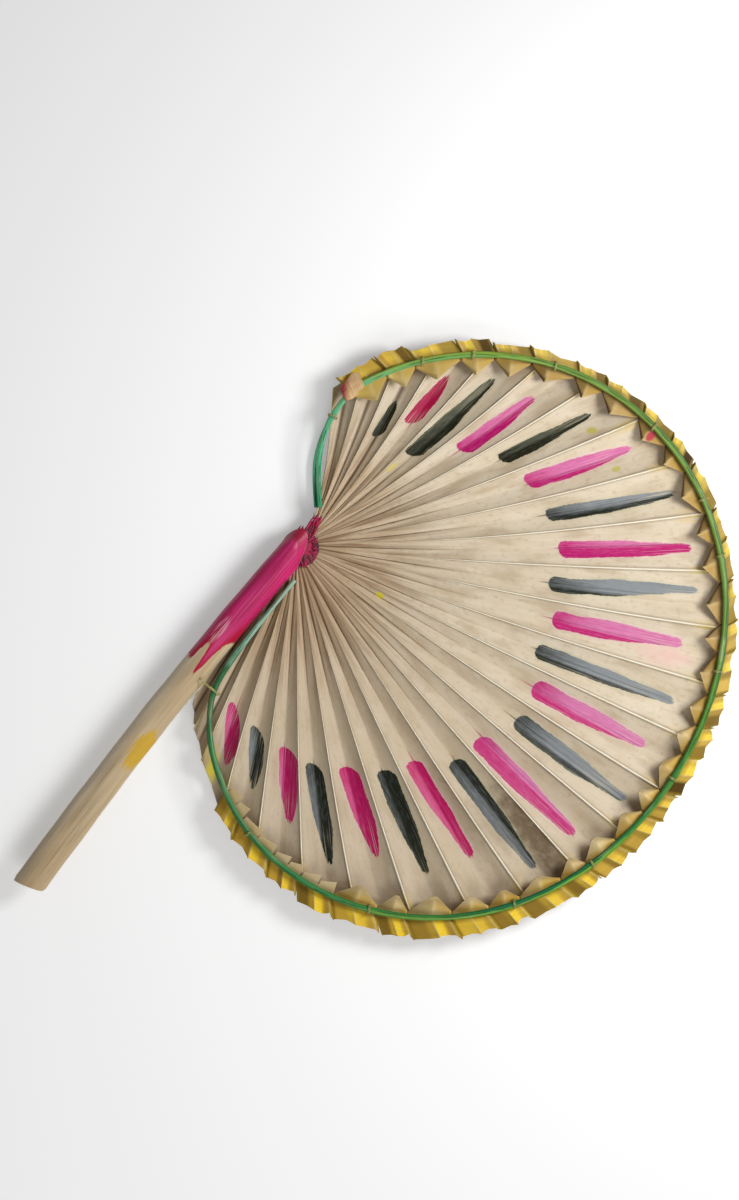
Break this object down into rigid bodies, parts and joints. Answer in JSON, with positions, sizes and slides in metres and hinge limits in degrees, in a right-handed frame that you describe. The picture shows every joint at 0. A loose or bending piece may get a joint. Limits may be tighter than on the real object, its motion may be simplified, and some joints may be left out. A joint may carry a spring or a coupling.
{
  "type": "palm leaf hand fan",
  "caption": "Hand fan made from one pleated palm leaf: the leaf stalk is a side handle, a pleated frill edges the rounded blade and two stitched split-cane hoops hold it flat.",
  "frame": {"origin": "middle of the outline in X and Y, on the surface that the fan lies on", "axes": "+X along the stalk from the grip to the leaf, +Z out of the painted face, +Y from the blade's far rim to the stalk's side"},
  "size_m": [0.3826, 0.2644, 0.0198],
  "materials": {
    "leaf": "dried palm leaf, satin, with brushed magenta and dark dashes in the folds",
    "frill": "palm strip dyed ochre yellow, satin",
    "hoop": "split cane dyed green, satin",
    "thread": "thin pale cotton thread",
    "stalk": "dry leaf stalk, bare at the grip and painted pink at the leaf end",
    "knuckle": "fibrous leaf base painted pink"
  },
  "bodies": {
    "root": {"frill_start_flap": "frill", "frill_strip_1": "frill", "frill_strip_2": "frill", "frill_strip_3": "frill", "frill_strip_4": "frill", "handle_tie": "thread", "hoop_back": "hoop", "hoop_front": "hoop", "leaf_knuckle": "knuckle", "leaf_segment_01": "leaf", "leaf_segment_02": "leaf", "leaf_segment_03": "leaf", "leaf_segment_04": "leaf", "leaf_segment_05": "leaf", "leaf_segment_06": "leaf", "leaf_segment_07": "leaf", "leaf_segment_08": "leaf", "leaf_segment_09": "leaf", "leaf_segment_10": "leaf", "leaf_segment_11": "leaf", "leaf_segment_12": "leaf", "leaf_segment_13": "leaf", "leaf_segment_14": "leaf", "leaf_segment_15": "leaf", "leaf_segment_16": "leaf", "leaf_segment_17": "leaf", "leaf_segment_18": "leaf", "leaf_segment_19": "leaf", "leaf_segment_20": "leaf", "leaf_segment_21": "leaf", "leaf_segment_22": "leaf", "leaf_segment_23": "leaf", "leaf_segment_24": "leaf", "leaf_segment_25": "leaf", "leaf_segment_26": "leaf", "leaf_segment_27": "leaf", "stalk_handle": "stalk", "stitch_01": "thread", "stitch_02": "thread", "stitch_03": "thread", "stitch_04": "thread", "stitch_05": "thread", "stitch_06": "thread", "stitch_07": "thread", "stitch_08": "thread", "stitch_09": "thread", "stitch_10": "thread", "stitch_11": "thread", "stitch_12": "thread", "tail_tie": "thread"}
  },
  "joints": []
}
